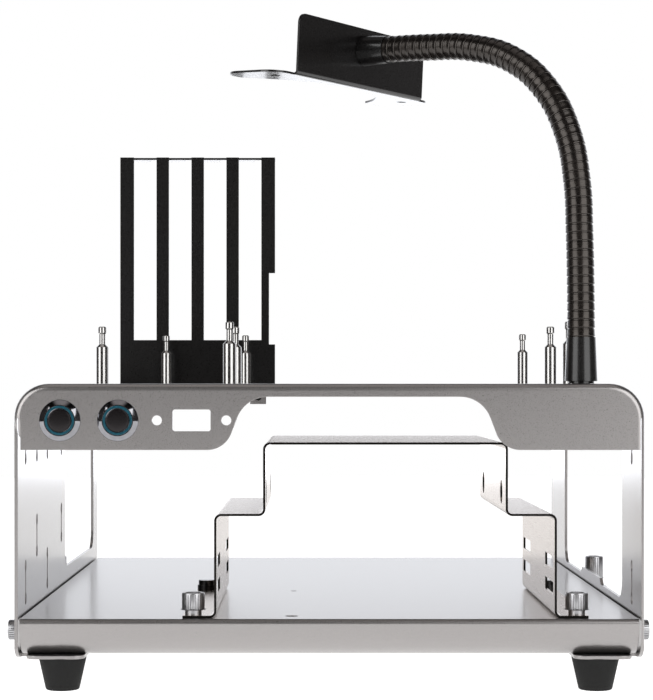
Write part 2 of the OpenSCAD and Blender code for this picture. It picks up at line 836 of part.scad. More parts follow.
// A low black screw with its washer at the rear of the cage
module cap_screw(side) {
    y = cage_y + cage_len - cap_screw_end;
    shank = cage_t + 2 * tray_t;
    color(black_coat) translate([cage_x + side * cage_screw_x, front_y + y, tray_z + cage_t]) {
        cylinder(d = cap_washer_d, h = cap_screw_h / 2);
        cylinder(d = cap_screw_d, h = cap_screw_h);
        translate([0, 0, -shank]) cylinder(d = thread_d, h = shank + cap_screw_h / 2);
    }
}

module ear_screw(side) {
    translate([side * (half_w + ear_reach / 2), front_y + ear_y, ear_z])
        thumbscrew(ear_screw_d, ear_screw_h, 2 * frame_t);
}

// The bracket's plate, drawn in x and z from its lower left corner on the table
module bracket_plate() {
    difference() {
        translate([0, bracket_foot_z]) square([bracket_w, bracket_h - bracket_foot_z]);
        for (i = [0 : 3])
            translate([card_slot_margin + i * slot_pitch, card_slot_z])
                square([card_slot_w, bracket_h - card_slot_z + cut]);
        translate([bracket_w - edge_notch_d, edge_notch_z]) square([edge_notch_d + cut, edge_notch_len]);
    }
    for (side = [-1, 1])
        translate([bracket_w / 2 + side * fix_tab_pitch / 2 - fix_tab_w / 2, -fix_tab_h])
            square([fix_tab_w, fix_tab_h + bracket_foot_z + cut]);
}

module slot_bracket() {
    color(black_coat) translate([bracket_x, front_y + notch_y, table_z]) difference() {
        union() {
            along_y(bracket_t) bracket_plate();
            translate([0, 0, bracket_h - bracket_t]) cube([bracket_w, hood_d, bracket_t]);
        }
        for (i = [0 : 3]) translate([card_slot_margin + i * slot_pitch, 0, bracket_h - bracket_t - cut]) {
            translate([0, -cut, 0]) cube([card_slot_w, hood_gap + cut, bracket_t + 2 * cut]);
            translate([card_slot_w - hood_slot_w, hood_d - hood_slot_d, 0])
                cube([hood_slot_w, hood_slot_d + cut, bracket_t + 2 * cut]);
        }
        for (side = [-1, 1])
            hole_y(bracket_w / 2 + side * fix_tab_pitch / 2, 0, -fix_tab_h / 2 - frame_t,
                slot_screw_d + 2 * play, 4 * bracket_t);
    }
}

// A screw that holds the slot bracket on a tab of the frame
module slot_screw(side) {
    x = fix_tab_x(side);
    shank = bracket_t + 2 * frame_t;
    color(black_coat) translate([x, front_y + notch_y + bracket_t, table_z - fix_tab_h / 2 - frame_t])
        rotate([-90, 0, 0]) {
            cylinder(d = slot_screw_head_d, h = slot_screw_head_t);
            translate([0, 0, -shank]) cylinder(d = slot_screw_d, h = shank + slot_screw_head_t / 2);
        }
}

// A post that carries the board on its split tip
module board_post(i) {
    p = post_places[i - 1];
    head_z = post_h + tip_h - tip_head_h;
    color(bright_plate) translate([p[0], front_y + p[1], table_z]) difference() {
        union() {
            cylinder(d = post_d, h = post_h - post_chamfer);
            translate([0, 0, post_h - post_chamfer]) cylinder(d1 = post_d, d2 = neck_d, h = post_chamfer);
            translate([0, 0, post_h - post_chamfer]) cylinder(d = neck_d, h = tip_h + post_chamfer);
            translate([0, 0, head_z]) {
                cylinder(d1 = neck_d, d2 = tip_d, h = tip_chamfer);
                translate([0, 0, tip_chamfer]) cylinder(d = tip_d, h = tip_head_h - 2 * tip_chamfer);
                translate([0, 0, tip_head_h - tip_chamfer])
                    cylinder(d1 = tip_d, d2 = neck_d, h = tip_chamfer);
            }
            translate([0, 0, -frame_t - post_screw_t]) {
                cylinder(d = post_stud_d, h = frame_t + post_screw_t + cut);
                cylinder(d = post_screw_d, h = post_screw_t);
            }
        }
        translate([-post_d / 2, -split_w / 2, post_h]) cube([post_d, split_w, tip_h + cut]);
    }
}

// Places a piece of a switch: Z = 0 is the panel's face and +Z goes into the bench
module at_switch(x) {
    translate([x, front_y, control_z]) rotate([-90, 0, 0]) children();
}

// The bezel and the barrel of a switch
module switch_body(x) {
    barrel_r = switch_hole_d / 2 - face_gap;
    wall_back = wall_front_y + wall_t;
    color(dark_button) at_switch(x) difference() {
        union() {
            translate([0, 0, -bezel_h]) cylinder(r1 = bezel_face_r, r2 = bezel_d / 2, h = bezel_slope_h);
            translate([0, 0, bezel_slope_h - bezel_h]) cylinder(d = bezel_d, h = bezel_h - bezel_slope_h);
            translate([0, 0, -bezel_h / 2]) cylinder(r = barrel_r, h = switch_len + bezel_h / 2);
        }
        translate([0, 0, -bezel_h - cut]) cylinder(r = switch_bore_r, h = bezel_h + wall_front_y + cut);
        translate([0, 0, wall_front_y - cut]) cylinder(r = stem_r + run_gap, h = wall_t + 2 * cut);
        translate([0, 0, wall_back]) cylinder(r = switch_bore_r, h = switch_len - wall_back + cut);
    }
}

// The lit ring round a button
module switch_ring(x) {
    color(ring_blue) at_switch(x) translate([0, 0, -bezel_h]) difference() {
        cylinder(r = ring_r, h = bezel_h + ring_back_y);
        translate([0, 0, -cut]) cylinder(r = ring_r - ring_t, h = bezel_h + ring_back_y + 2 * cut);
    }
}

// A button with the flange that the ring holds and a stem that runs in the body
module switch_button(x) {
    flange_z = ring_back_y + ring_gap;
    top = -bezel_h - button_proud;
    color(dark_button) at_switch(x) {
        translate([0, 0, top]) cylinder(d1 = button_d - 2 * cap_chamfer, d2 = button_d, h = cap_chamfer);
        translate([0, 0, top + cap_chamfer]) cylinder(d = button_d, h = cap_back_y - top - cap_chamfer);
        translate([0, 0, flange_z]) cylinder(r = ring_r - ring_gap, h = cap_flange_t);
        cylinder(r = stem_r, h = wall_front_y + wall_t + cut);
    }
}

// The hexagon nut behind the panel
module switch_nut(x) {
    color(knurl_grey) at_switch(x) translate([0, 0, frame_t]) difference() {
        cylinder(d = switch_nut_d, h = switch_nut_t, $fn = 6);
        translate([0, 0, -cut]) cylinder(d = switch_hole_d - face_gap, h = switch_nut_t + 2 * cut);
    }
}

// The closing block of a switch, with its four pins
module switch_terminals(x) {
    color(rubber_black) at_switch(x) translate([0, 0, switch_len - terminal_t]) {
        cylinder(r = switch_bore_r - face_gap, h = terminal_t);
        for (a = [0 : 90 : 270]) rotate(a) translate([pin_spread, -pin_w / 2, terminal_t - cut])
            cube([pin_t, pin_w, pin_len + cut]);
    }
}

// Heading of the hose at the start of a segment, in degrees from upright
function bend_of(i) = bend_shares[i] * arm_end_slope;
function heading(n) = n <= 0 ? 0 : heading(n - 1) + bend_of(n - 1);

// Place on an arc of the hose that starts at heading h and turns by t over the length s
function run_y(h, t, s) = t == 0 ? s * sin(h) : s * 180 / (PI * t) * (cos(h) - cos(h + t));
function run_z(h, t, s) = t == 0 ? s * cos(h) : s * 180 / (PI * t) * (sin(h + t) - sin(h));
function path_y(n) = n <= 0 ? 0 : path_y(n - 1) + run_y(heading(n - 1), bend_of(n - 1), segment_len);
function path_z(n) = n <= 0 ? 0 : path_z(n - 1) + run_z(heading(n - 1), bend_of(n - 1), segment_len);

// Stands children at the end of the first n segments, +Y the way the arm leans
module at_hose(n) {
    translate([arm_x, front_y + arm_y, hose_z]) rotate([0, 0, 90 - arm_turn])
        translate([0, path_y(n), path_z(n)]) rotate([-heading(n), 0, 0]) children();
}

// The core of a hose that turns by t over the whole segment, between two lengths along it
module hose_core(t, from, to) {
    if (t == 0) {
        translate([0, 0, from]) cylinder(r = core_r, h = to - from);
    } else {
        r = segment_len * 180 / (PI * t);
        translate([0, r, 0]) rotate([90, 0, -90]) rotate(t * from / segment_len)
            rotate_extrude(angle = t * (to - from) / segment_len) translate([r, 0]) circle(r = core_r);
    }
}

// One ridge of the hose, across Z
module hose_ridge() {
    rotate_extrude() polygon([
        [0, -ridge_w / 2], [hose_r - ridge_round, -ridge_w / 2], [hose_r, ridge_round - ridge_w / 2],
        [hose_r, ridge_w / 2 - ridge_round], [hose_r - ridge_round, ridge_w / 2], [0, ridge_w / 2]
    ]);
}

// One segment of the hose: a seat at its start, ridges along it and a ball at its end
module hose(i) {
    t = bend_of(i - 1);
    first = i == 1;
    last = i == segment_count;
    from = first ? 0 : groove_w / 2;
    to = last ? segment_len : segment_len - groove_w / 2;
    color(rubber_black) at_hose(i - 1) {
        difference() {
            union() {
                hose_core(t, from, to);
                for (k = [0 : ridge_count - 1]) {
                    s = (k + 0.5) * ridge_pitch;
                    u = t * s / segment_len;
                    translate([0, run_y(0, u, s), run_z(0, u, s)]) rotate([-u, 0, 0]) hose_ridge();
                }
            }
            if (!first) sphere(r = ball_d / 2 + ball_gap);
        }
        if (first) translate([0, 0, -hose_tail]) cylinder(r = core_r, h = hose_tail + cut);
        translate([0, run_y(0, t, segment_len), run_z(0, t, segment_len)]) rotate([-t, 0, 0]) {
            if (last) translate([0, 0, -cut]) cylinder(r = core_r, h = hose_tail + cut);
            if (!last) sphere(d = ball_d);
        }
    }
}

// The ferrule that holds the hose on the table, with its stud
module arm_foot() {
    sleeve_z = face_gap + collar_h;
    color(black_coat) translate([arm_x, front_y + arm_y, table_z]) difference() {
        union() {
            translate([0, 0, face_gap]) cylinder(d = collar_d, h = collar_h + cut);
            translate([0, 0, sleeve_z]) cylinder(d1 = ferrule_d, d2 = ferrule_top_d, h = ferrule_h);
            translate([0, 0, -frame_t - arm_stud_len])
                cylinder(d = arm_stud_d, h = arm_stud_len + frame_t + cut);
        }
        translate([0, 0, sleeve_z + ferrule_h - hose_tail - hose_play])
            cylinder(r = core_r + hose_play, h = hose_tail + hose_play + cut);
    }
}

// The nut under the table
module arm_nut() {
    nut_z = table_z - frame_t - face_gap - arm_nut_t;
    color(knurl_grey) translate([arm_x, front_y + arm_y, nut_z]) difference() {
        cylinder(d = arm_nut_d, h = arm_nut_t, $fn = 6);
        translate([0, 0, -cut]) cylinder(d = arm_stud_d + 2 * run_gap, h = arm_nut_t + 2 * cut);
    }
}

// Places a piece of the arm's end: the origin on the hose's end, +Y along the hose, +Z upwards
module at_end() {
    at_hose(segment_count) rotate([90, 0, 0]) children();
}

// The ferrule at the arm's end, bored for the bracket's screw
module arm_end() {
    color(black_coat) at_hose(segment_count) difference() {
        cylinder(d1 = ferrule_top_d, d2 = ferrule_d, h = end_ferrule_h);
        translate([0, 0, -cut]) cylinder(r = core_r + hose_play, h = hose_tail + hose_play + cut);
        translate([0, 0, hose_tail]) cylinder(d = fan_screw_d + 2 * run_gap, h = end_ferrule_h);
    }
}

// The fan bracket: an upright flange on the arm and a plate with two ears
module fan_bracket() {
    r = fan_bend_r + fan_t;
    low_z = -fan_arm_z;
    color(black_coat) at_end() translate([0, fan_hub_y, 0]) {
        difference() {
            union() {
                translate([-fan_flange_w / 2, fan_t, low_z + r]) rotate([90, 0, 0]) linear_extrude(fan_t) {
                    round_rect(fan_flange_w, fan_flange_h - r, fan_flange_r);
                    square([fan_flange_w, fan_flange_h / 2]);
                }
                translate([-fan_flange_w / 2, r, low_z + r]) along_x(fan_flange_w) rotate(180) bend(r, fan_t);
            }
            rotate([-90, 0, 0]) translate([0, 0, -cut])
                cylinder(d = fan_screw_d + 2 * run_gap, h = fan_t + 2 * cut);
        }
        translate([0, r, low_z]) linear_extrude(fan_t) difference() {
            translate([-fan_plate_w / 2, 0]) {
                round_rect(fan_plate_w, fan_plate_d - r, fan_plate_r);
                translate([(fan_plate_w - fan_flange_w) / 2, 0]) square([fan_flange_w, fan_plate_d / 2]);
            }
            translate([0, fan_circle_y - r]) circle(r = fan_air_r);
            for (side = [-1, 1])
                translate([side * fan_hole_pitch / 2, fan_hole_y - r]) circle(d = fan_hole_d);
        }
    }
}

// The screw that holds the bracket on the arm
module fan_screw() {
    color(black_coat) at_hose(segment_count) translate([0, 0, hose_tail + hose_play]) {
        cylinder(d = fan_screw_d, h = end_ferrule_h - hose_tail + fan_t + 2 * face_gap);
        translate([0, 0, end_ferrule_h - hose_tail - hose_play + fan_t + 2 * face_gap])
            cylinder(d = fan_screw_head_d, h = fan_screw_head_t);
    }
}

top_frame();
lower_tray();
drive_cage();
slot_bracket();
foot(-1, -1);  // foot_front_left
foot(1, -1);  // foot_front_right
foot(-1, 1);  // foot_rear_left
foot(1, 1);  // foot_rear_right
side_screw(-1, -1);  // side_screw_front_left
side_screw(1, -1);  // side_screw_front_right
side_screw(-1, 1);  // side_screw_rear_left
side_screw(1, 1);  // side_screw_rear_right
cage_screw(-1);  // cage_screw_front_left
cage_screw(1);  // cage_screw_front_right
cap_screw(-1);  // cage_screw_rear_left
cap_screw(1);  // cage_screw_rear_right
ear_screw(-1);  // ear_screw_left
ear_screw(1);  // ear_screw_right
slot_screw(-1);  // slot_screw_left
slot_screw(1);  // slot_screw_right
switch_body(power_x);  // power_switch_body
switch_ring(power_x);  // power_ring
switch_button(power_x);  // power_button
switch_nut(power_x);  // power_nut
switch_terminals(power_x);  // power_terminals
switch_body(reset_x);  // reset_switch_body
switch_ring(reset_x);  // reset_ring
switch_button(reset_x);  // reset_button
switch_nut(reset_x);  // reset_nut
switch_terminals(reset_x);  // reset_terminals
board_post(1);  // board_post_1
board_post(2);  // board_post_2
board_post(3);  // board_post_3
board_post(4);  // board_post_4
board_post(5);  // board_post_5
board_post(6);  // board_post_6
board_post(7);  // board_post_7
board_post(8);  // board_post_8
arm_foot();
arm_nut();
hose(1);  // hose_1
hose(2);  // hose_2
hose(3);  // hose_3
hose(4);  // hose_4
hose(5);  // hose_5
hose(6);  // hose_6
hose(7);  // hose_7
hose(8);  // hose_8
hose(9);  // hose_9
arm_end();
fan_bracket();
fan_screw();
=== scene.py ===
import json
import math

import bpy
from bpy.props import FloatProperty, IntProperty, PointerProperty, StringProperty
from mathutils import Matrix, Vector


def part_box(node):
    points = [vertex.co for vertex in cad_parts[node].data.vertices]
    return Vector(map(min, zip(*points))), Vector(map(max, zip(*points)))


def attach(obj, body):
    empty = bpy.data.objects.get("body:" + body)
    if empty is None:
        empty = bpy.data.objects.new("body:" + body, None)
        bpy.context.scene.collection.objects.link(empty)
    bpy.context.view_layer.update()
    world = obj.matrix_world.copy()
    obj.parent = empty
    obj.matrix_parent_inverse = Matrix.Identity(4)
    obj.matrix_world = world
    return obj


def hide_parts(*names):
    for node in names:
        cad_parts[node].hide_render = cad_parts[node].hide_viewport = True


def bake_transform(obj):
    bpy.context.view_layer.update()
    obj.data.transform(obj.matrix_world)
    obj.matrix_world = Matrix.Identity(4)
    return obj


bl_info = {
    "name": "Open air test bench",
    "version": (1, 0, 0),
    "blender": (4, 5, 0),
    "location": "3D View > Sidebar > Bench",
    "description": "Dresses the packed test bench with finishes, a ridged hose, screws, feet and switches",
    "category": "Object",
}

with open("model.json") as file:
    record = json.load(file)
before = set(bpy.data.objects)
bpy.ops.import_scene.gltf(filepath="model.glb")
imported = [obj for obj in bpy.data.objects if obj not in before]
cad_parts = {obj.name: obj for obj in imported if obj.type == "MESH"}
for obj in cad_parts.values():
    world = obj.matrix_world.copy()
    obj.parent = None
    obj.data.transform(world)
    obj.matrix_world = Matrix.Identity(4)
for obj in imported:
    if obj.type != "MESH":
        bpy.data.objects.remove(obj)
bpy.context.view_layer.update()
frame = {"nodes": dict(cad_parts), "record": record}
record = frame["record"]
joints = {j["name"]: j for j in record["behaviour"]["joints"]}

MM = 0.001
QUARTER_TURN = math.radians(90)
# Distance in metres within which two places on a mesh count as one
TOUCH = 1e-6
# A face counts as level when its normal's z is over this, and as upright when it is under the other
LEVEL = 0.99
UPRIGHT = 0.1
# Angle between two faces up to which the edge between them is shaded smooth
SMOOTH_ANGLE = math.radians(32)
# The photograph in pixels: its size, its vanishing point and the camera's focal length
IMAGE_W, IMAGE_H = 653, 700
CENTRE_X, CENTRE_Y, FOCAL = 311, 391.5, 2000
CAMERA_PLACE = (-7.9 * MM, -1025.2 * MM, 130.6 * MM)
# Each soft box: name, azimuth in degrees, height, width and height of its face in metres, watts
LAMPS = (
    ("left_box", -47, 0.7, 1.1, 1.3, 13.0),
    ("right_box", 38, 0.7, 1.2, 1.3, 14.0),
)
LAMP_DISTANCE = 1.5
LAMP_AIM = Vector((0, 0, 0.15))
# Each ramp of the studio's light: axis of the direction, where it starts and ends, and its strength there
BEHIND = ("Y", 0.3, 0.85, 0.06, 1.15)
ABOVE = ("Z", 0.3, 0.8, 1.0, 0.12)
GLOW = ("Y", 0.8, 0.98, 0.0, 1.7)
LOW = ("Z", 0.0, 0.09, 1.0, 0.08)
OVERHEAD = ("Z", 0.86, 0.97, 0.0, 0.6)
SWITCHES = ("power", "reset")
ENDS = ("front_left", "front_right", "rear_left", "rear_right")
HOSE_LINKS = ["arm_base"] + ["arm_link_%d" % i for i in range(2, 9)] + ["arm_tip"]


def box_middle(name):
    """The middle and the size of a node's box at rest."""
    low, high = (Vector(corner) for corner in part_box(name))
    return (low + high) / 2, high - low


# Colour and material helpers

def linear(hex_text):
    """An sRGB hex colour as linear RGBA."""
    values = [int(hex_text[i:i + 2], 16) / 255 for i in (1, 3, 5)]
    return [v / 12.92 if v <= 0.04045 else ((v + 0.055) / 1.055) ** 2.4 for v in values] + [1.0]


def add_node(tree, kind, settings=None, links=None):
    """Adds a node, sets its properties and fills its inputs with values or with other nodes' outputs."""
    made = tree.nodes.new(kind)
    for key, value in (settings or {}).items():
        setattr(made, key, value)
    for key, value in (links or {}).items():
        if isinstance(value, bpy.types.NodeSocket):
            tree.links.new(value, made.inputs[key])
        else:
            made.inputs[key].default_value = value
    return made


def new_material(name):
    """An empty node material with its output and object coordinates."""
    made = bpy.data.materials.new(name)
    made.use_nodes = True
    made.node_tree.nodes.clear()
    place = add_node(made.node_tree, "ShaderNodeTexCoord").outputs["Object"]
    return made, made.node_tree, place


def finish_material(tree, shader_inputs):
    """Adds the shader with its inputs and joins it to the output."""
    shader = add_node(tree, "ShaderNodeBsdfPrincipled", links=shader_inputs)
    add_node(tree, "ShaderNodeOutputMaterial", links={"Surface": shader.outputs["BSDF"]})


def grain(tree, place, size_mm, detail=2.0):
    """Noise whose grains are about size_mm across."""
    return add_node(tree, "ShaderNodeTexNoise", links={
        "Vector": place, "Scale": 1 / (size_mm * MM), "Detail": detail}).outputs["Fac"]


def between(tree, factor, low, high):
    """Maps a noise value onto the range from low to high."""
    return add_node(tree, "ShaderNodeMapRange", links={
        "Value": factor, "From Min": 0.3, "From Max": 0.7, "To Min": low, "To Max": high}).outputs["Result"]


def two_tone(tree, factor, dark, light):
    """A colour between two hex values."""
    mix = add_node(tree, "ShaderNodeMix", {"data_type": "RGBA"}, {"Factor": factor})
    mix.inputs["A"].default_value = linear(dark)
    mix.inputs["B"].default_value = linear(light)
    return mix.outputs["Result"]


def round_edges(tree, radius_mm):
    """A normal that rounds sharp edges, as folded and cut metal has them."""
    return add_node(tree, "ShaderNodeBevel", {"samples": 6}, {"Radius": radius_mm * MM}).outputs["Normal"]


def bumped(tree, height, depth_mm, normal=None):
    """A normal that follows a height pattern of the given depth."""
    links = {"Height": height, "Distance": depth_mm * MM, "Strength": 1.0}
    if normal is not None:
        links["Normal"] = normal
    return add_node(tree, "ShaderNodeBump", links=links).outputs["Normal"]


# Finishes

def silver_coat(looks):
    """Metallic silver powder coat on steel sheet: a satin sheen with a faint orange peel."""
    made, tree, place = new_material("metallic silver powder coat")
    # Orange peel is about 2 mm from crest to crest, and the flakes in the coat about 0.3 mm
    peel = grain(tree, place, 2.0)
    flakes = grain(tree, place, 0.3, 1.0)
    colour = two_tone(tree, flakes, looks.silver_dark, looks.silver_light)
    finish_material(tree, {
        "Base Color": colour, "Metallic": 0.92, "Roughness": between(tree, flakes, 0.27, 0.36),
        "Coat Weight": 0.45, "Coat Roughness": 0.16,
        "Normal": bumped(tree, peel, 0.003, round_edges(tree, 0.4))})
    return made


def cage_sheet(looks):
    """Zinc-plated steel sheet: warm grey, rolled along its length, and near black on every face that points
    along Y, its cut edges among them.
    """
    made, tree, place = new_material("zinc plated steel sheet")
    # Rolling lines are drawn 0.6 mm apart, coarser than the real ones, so that they show
    lines = add_node(tree, "ShaderNodeMapping", links={"Vector": place, "Scale": (1.0, 0.04, 1.0)})
    streaks = grain(tree, lines.outputs["Vector"], 0.6, 3.0)
    colour = two_tone(tree, streaks, looks.cage_dark, looks.cage_light)
    # The cut edges face along Y; every face that points along Y is given a near-black colour
    facing = add_node(tree, "ShaderNodeSeparateXYZ", links={
        "Vector": add_node(tree, "ShaderNodeNewGeometry").outputs["True Normal"]}).outputs["Y"]
    size = add_node(tree, "ShaderNodeMath", {"operation": "ABSOLUTE"}, {0: facing}).outputs[0]
    faces_along_y = add_node(tree, "ShaderNodeMath", {"operation": "GREATER_THAN"}, {0: size, 1: 0.9}).outputs[0]
    mix = add_node(tree, "ShaderNodeMix", {"data_type": "RGBA"}, {"Factor": faces_along_y, "A": colour})
    mix.inputs["B"].default_value = linear(looks.cage_cut)
    finish_material(tree, {
        "Base Color": mix.outputs["Result"], "Metallic": 0.95,
        "Roughness": between(tree, streaks, 0.22, 0.28),
        "Normal": bumped(tree, streaks, 0.0004)})
    return made


def black_coat(looks):
    """Black powder coat: a fine grit that catches a soft light."""
    made, tree, place = new_material("black powder coat")
    # The grit of the coat is about 0.5 mm
    grit = grain(tree, place, 0.5)
    finish_material(tree, {
        "Base Color": two_tone(tree, grit, looks.black_dark, looks.black_light), "Metallic": 0.0,
        "Roughness": between(tree, grit, 0.26, 0.36), "Specular IOR Level": 0.35,
        "Coat Weight": 0.5, "Coat Roughness": 0.14,
        "Normal": bumped(tree, grit, 0.005, round_edges(tree, 0.3))})
    return made


def hose_vinyl(looks):
    """Black vinyl over a steel coil: smooth and satin, with a trace of brown in its lights."""
    made, tree, place = new_material("black vinyl hose cover")
    # Slow variation about 6 mm long, as the skin stretches over the coil
    slow = grain(tree, place, 6.0)
    # The skin itself has a fine grain of about 0.8 mm
    finish_material(tree, {
        "Base Color": two_tone(tree, slow, looks.hose_dark, looks.hose_light), "Metallic": 0.0,
        "Roughness": between(tree, slow, 0.24, 0.32), "Specular IOR Level": 0.6,
        "Specular Tint": linear(looks.hose_sheen), "Coat Weight": 0.3, "Coat Roughness": 0.14,
        "Normal": bumped(tree, grain(tree, place, 0.8), 0.002)})
    return made


def turned_aluminium(looks):
    """Turned and knurled aluminium: grey metal with a satin surface."""
    made, tree, place = new_material("turned aluminium")
    # Tool marks are about 0.25 mm apart
    marks = grain(tree, place, 0.25)
    finish_material(tree, {
        "Base Color": two_tone(tree, marks, looks.knurl_dark, looks.knurl_light), "Metallic": 1.0,
        "Roughness": between(tree, marks, 0.28, 0.42), "Normal": bumped(tree, marks, 0.003)})
    return made


def nickel_plate(looks):
    """Nickel plate on turned brass: bright and nearly a mirror."""
    made, tree, place = new_material("nickel plate")
    # The plate varies softly over about 1.5 mm
    soft = grain(tree, place, 1.5)
    finish_material(tree, {
        "Base Color": two_tone(tree, soft, looks.nickel_dark, looks.nickel_light), "Metallic": 1.0,
        "Roughness": between(tree, soft, 0.1, 0.18), "Normal": round_edges(tree, 0.25)})
    return made


def foot_rubber(looks):
    """Moulded black rubber: dull, with a dusty grain."""
    made, tree, place = new_material("moulded black rubber")
    # The grain of the mould is about 0.4 mm
    dust = grain(tree, place, 0.4, 4.0)
    finish_material(tree, {
        "Base Color": two_tone(tree, dust, looks.rubber_dark, looks.rubber_light), "Metallic": 0.0,
        "Roughness": between(tree, dust, 0.6, 0.8), "Specular IOR Level": 0.3,
        "Normal": bumped(tree, dust, 0.02)})
    return made


def black_chrome(looks):
    """Black chrome on a brass bezel: a dark mirror."""
    made, tree, place = new_material("black chrome plate")
    # The plate varies softly over about 2 mm
    soft = grain(tree, place, 2.0)
    finish_material(tree, {
        "Base Color": two_tone(tree, soft, looks.chrome_dark, looks.chrome_light), "Metallic": 1.0,
        "Roughness": between(tree, soft, 0.06, 0.12)})
    return made


def blue_lens(looks):
    """Blue polycarbonate light ring: a clear, glossy skin over a deep colour, with a faint painted glow."""
    made, tree, place = new_material("blue polycarbonate lens")
    # The depth of the colour varies over about 1.2 mm
    soft = grain(tree, place, 1.2)
    finish_material(tree, {
        "Base Color": two_tone(tree, soft, looks.ring_dark, looks.ring_light_and_glow), "Metallic": 0.0,
        "Roughness": between(tree, soft, 0.08, 0.16), "Coat Weight": 1.0, "Coat Roughness": 0.05,
        # A faint painted glow in the ring's light tone brightens the ring
        "Emission Color": linear(looks.ring_light_and_glow), "Emission Strength": 0.05,
        "Normal": round_edges(tree, 0.3)})
    return made


def black_anodised(looks):
    """Black anodised aluminium button: dark satin metal."""
    made, tree, place = new_material("black anodised aluminium")
    # Tool marks under the dye are about 0.3 mm apart
    marks = grain(tree, place, 0.3)
    finish_material(tree, {
        "Base Color": two_tone(tree, marks, looks.button_dark, looks.button_light), "Metallic": 0.7,
        "Roughness": between(tree, marks, 0.2, 0.3), "Normal": bumped(tree, marks, 0.002)})
    return made


def bright_steel(looks):
    """Zinc-plated steel of nuts and screw heads: bright, with soft lights."""
    made, tree, place = new_material("zinc plated steel fastener")
    # The plating's spangle is about 0.5 mm
    marks = grain(tree, place, 0.5)
    finish_material(tree, {
        "Base Color": two_tone(tree, marks, looks.steel_dark, looks.steel_light), "Metallic": 1.0,
        "Roughness": between(tree, marks, 0.22, 0.36), "Normal": round_edges(tree, 0.25)})
    return made


def block_nylon(looks):
    """Moulded black nylon of the switch blocks: dull, with a fine mould grain."""
    made, tree, place = new_material("moulded black nylon")
    # The grain of the mould is about 0.3 mm
    grit = grain(tree, place, 0.3)
    finish_material(tree, {
        "Base Color": two_tone(tree, grit, looks.rubber_dark, looks.rubber_light), "Metallic": 0.0,
        "Roughness": between(tree, grit, 0.4, 0.55), "Normal": bumped(tree, grit, 0.006)})
    return made


FINISHES = {
    "silver_paint": silver_coat, "cage_metal": cage_sheet, "black_coat": black_coat,
    "foot_rubber": foot_rubber, "knurled_metal": turned_aluminium, "bright_plate": nickel_plate,
    "black_chrome": black_chrome, "blue_ring": blue_lens, "black_button": black_anodised,
    "nut_metal": bright_steel, "block_plastic": block_nylon, "hose_cover": hose_vinyl,
}


def finish(slot):
    """The material of a record slot, made once."""
    key = "bench_" + slot
    stored = next((m for m in bpy.data.materials if m.get("bench_slot") == key), None)
    if stored is None:
        stored = FINISHES[slot](bpy.context.scene.bench_looks)
        stored["bench_slot"] = key
    return stored


def set_finish(piece, slot):
    """Gives a piece one material and names its slot."""
    piece.data.materials.clear()
    piece.data.materials.append(finish(slot))


# Modelling helpers

def deselect():
    """Leaves nothing selected, in object mode."""
    if bpy.context.object and bpy.context.object.mode != "OBJECT":
        bpy.ops.object.mode_set(mode="OBJECT")
    bpy.ops.object.select_all(action="DESELECT")


def choose(piece):
    """Makes a piece the only selected and the active one."""
    deselect()
    piece.select_set(True)
    bpy.context.view_layer.objects.active = piece


def select_parts(piece, mode, kind, test):
    """In edit mode, selects the faces, edges or points that pass a test."""
    bpy.ops.mesh.select_mode(type=mode)
    bpy.ops.mesh.select_all(action="DESELECT")
    bpy.ops.object.mode_set(mode="OBJECT")
    for part in getattr(piece.data, kind):
        part.select = test(part)
    bpy.ops.object.mode_set(mode="EDIT")


def select_faces(piece, test):
    """In edit mode, selects the faces whose middle and normal pass a test."""
    select_parts(piece, "FACE", "polygons", lambda face: test(face.center, face.normal))


def select_points(piece, test):
    """In edit mode, selects the points whose place passes a test."""
    select_parts(piece, "VERT", "vertices", lambda point: test(point.co))


def select_edges(piece, test):
    """In edit mode, selects the edges whose two ends both pass a test."""
    select_parts(piece, "EDGE", "edges", lambda edge: all(
        test(piece.data.vertices[i].co) for i in edge.vertices))


def add_modifier(piece, kind, settings):
    """Adds a modifier with its settings and applies it."""
    choose(piece)
    made = piece.modifiers.new(kind.lower(), kind)
    for key, value in settings.items():
        setattr(made, key, value)
    bpy.ops.object.modifier_apply(modifier=made.name)


def settle(piece, name, turn=None, place=(0, 0, 0)):
    """Turns and moves a piece into place, and leaves its object at the origin."""
    choose(piece)
    piece.name = name
    piece.data.name = name
    if turn is not None:
        piece.rotation_euler = turn
    piece.location = place
    bpy.ops.object.transform_apply(location=True, rotation=True, scale=True)
    bpy.ops.object.shade_smooth_by_angle(angle=SMOOTH_ANGLE)
    return piece


def copy_piece(piece):
    """A copy with its own mesh."""
    made = piece.copy()
    made.data = piece.data.copy()
    bpy.context.collection.objects.link(made)
    return made


def remove_piece(piece):
    """Takes a pattern piece out of the scene once its copies are made."""
    mesh = piece.data
    bpy.data.objects.remove(piece)
    bpy.data.meshes.remove(mesh)


def dress(piece, body, slot, *nodes):
    """Gives a finished piece its material and its body, and hides the nodes that it stands for."""
    set_finish(piece, slot)
    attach(piece, body)
    if nodes:
        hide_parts(*nodes)


def add_cylinder(radius, depth, place=(0, 0, 0), sides=64, top_radius=None, caps="NGON"):
    """A cylinder or cone that stands on the given place."""
    deselect()
    middle = (place[0], place[1], place[2] + depth / 2)
    if top_radius is None:
        bpy.ops.mesh.primitive_cylinder_add(
            vertices=sides, radius=radius, depth=depth, end_fill_type=caps, location=middle)
    else:
        bpy.ops.mesh.primitive_cone_add(
            vertices=sides, radius1=radius, radius2=top_radius, depth=depth, end_fill_type=caps,
            location=middle)
    piece = bpy.context.object
    bpy.ops.object.transform_apply(location=True, rotation=True, scale=True)
    return piece


